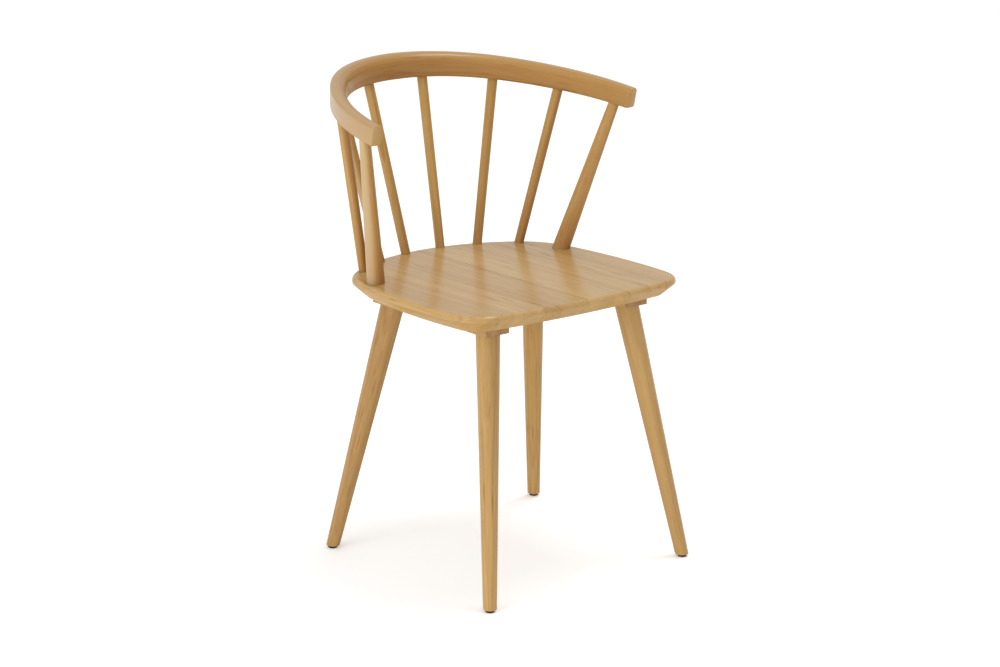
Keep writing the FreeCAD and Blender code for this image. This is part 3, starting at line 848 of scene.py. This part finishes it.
# Each piece is cut from another place in the log, so no two have the same figure
lathe = lathe_tree()
for number, (shift, tone) in enumerate(zip(BOARD_SHIFTS, BOARD_TONES), 1):
    flat_piece(f"seat_board_{number}", seat_wood, Vector(shift), tone)
for number, (corner, tone) in enumerate(LEG_TONES.items()):
    shift = Vector((0.3 + 0.1 * number, -0.35, number))
    flat_piece("leg_block_" + corner, leg_wood, shift)
    leg("leg_" + corner, Vector((0.09 + 0.02 * number, 0.12, 0.7 * number)), tone)
    repaint("glide_" + corner, black_plastic)
for number, (side, looks) in enumerate(UPRIGHT_LOOKS.items()):
    upright("arm_post_" + side, POST, post_wood, Vector((0.11, 0.06, 4.0 + number)), *looks[0])
    for place in (1, 2, 3):
        shift = Vector((0.08, 0.05 * place, 7.0 + 2.0 * number + 0.6 * place))
        upright(f"back_spindle_{side}_{place}", SPINDLE, spindle_wood, shift, *looks[place])
arm_rail()
for node in ("glide_nails", "hanger_bolts", "block_screws"):
    repaint(node, zinc_steel)
repaint("threaded_inserts", insert_brass)


# Floor, light and camera

def white_room():
    """Bright above, dimmer near the horizon, with wide soft windows."""
    world = bpy.data.worlds.new("white room")
    world.use_nodes = True
    tree = world.node_tree
    towards = add(tree, "ShaderNodeTexCoord").outputs["Generated"]
    glow = add(tree, "ShaderNodeMapRange", {"Value": split(tree, towards)[2], "From Min": 0.0,
                                            "From Max": 1.0, "To Min": ROOM_HORIZON,
                                            "To Max": ROOM_ZENITH}).outputs[0]
    for side, strength in WINDOWS:
        facing = vector_calc(tree, "DOT_PRODUCT", towards, Vector(side).normalized())
        glow = calc(tree, "ADD", glow, faded(tree, facing, (WINDOW_EDGE, 1.0), strength))
    background = tree.nodes["Background"]
    background.inputs["Color"].default_value = WHITE
    wire(tree, background.inputs["Strength"], glow)
    return world


def softbox(name, place, size, power, colour, mirrored=True):
    """A round soft light turned to the chair. Lacquer shows its image only if mirrored."""
    light = bpy.data.lights.new(name, "AREA")
    light.shape = "DISK"
    light.size = size
    light.energy = power
    light.color = colour
    lamp = bpy.data.objects.new(name, light)
    lamp.location = place
    lamp.visible_glossy = mirrored
    lamp.rotation_mode = "QUATERNION"
    lamp.rotation_quaternion = (SOFTBOX_AIM - Vector(place)).to_track_quat("-Z", "Y")
    bpy.context.scene.collection.objects.link(lamp)


def studio():
    """The room, a white floor and two soft lights."""
    scene = bpy.context.scene
    scene.view_settings.view_transform = "Standard"
    scene.world = white_room()

    mesh = bpy.data.meshes.new("floor")
    half = FLOOR_HALF_WIDTH
    mesh.from_pydata([(-half, -half, 0), (half, -half, 0), (half, half, 0), (-half, half, 0)], [],
                     [(0, 1, 2, 3)])
    floor = bpy.data.objects.new("floor", mesh)
    scene.collection.objects.link(floor)
    material, _, shader = new_material("floor_white")
    shader.inputs["Base Color"].default_value = FLOOR_WHITE
    shader.inputs["Emission Color"].default_value = WHITE
    shader.inputs["Emission Strength"].default_value = FLOOR_GLOW
    shader.inputs["Roughness"].default_value = FLOOR_ROUGHNESS
    mesh.materials.append(material)

    softbox("overhead", place=(1.1, -0.2, 4.0), size=1.5, power=45.0, colour=(1.0, 0.99, 0.97))
    softbox("left", place=(-3.6, -0.2, 0.8), size=2.4, power=50.0, colour=(0.95, 0.98, 1.0),
            mirrored=False)


def camera():
    """The camera, placed and turned as fitted to the photo."""
    data = bpy.data.cameras.new("camera")
    data.lens = CAMERA_LENS
    data.sensor_width = SENSOR_WIDTH
    made = bpy.data.objects.new("camera", data)
    turn = (Matrix.Rotation(-math.radians(CAMERA_AZIMUTH), 4, "Z")
            @ Matrix.Rotation(math.radians(90 - CAMERA_FALL), 4, "X")
            @ Matrix.Rotation(math.radians(CAMERA_ROLL), 4, "Z"))
    made.matrix_world = Matrix.Translation(CAMERA_PLACE) @ turn
    bpy.context.scene.collection.objects.link(made)
    bpy.context.scene.camera = made


studio()
camera()
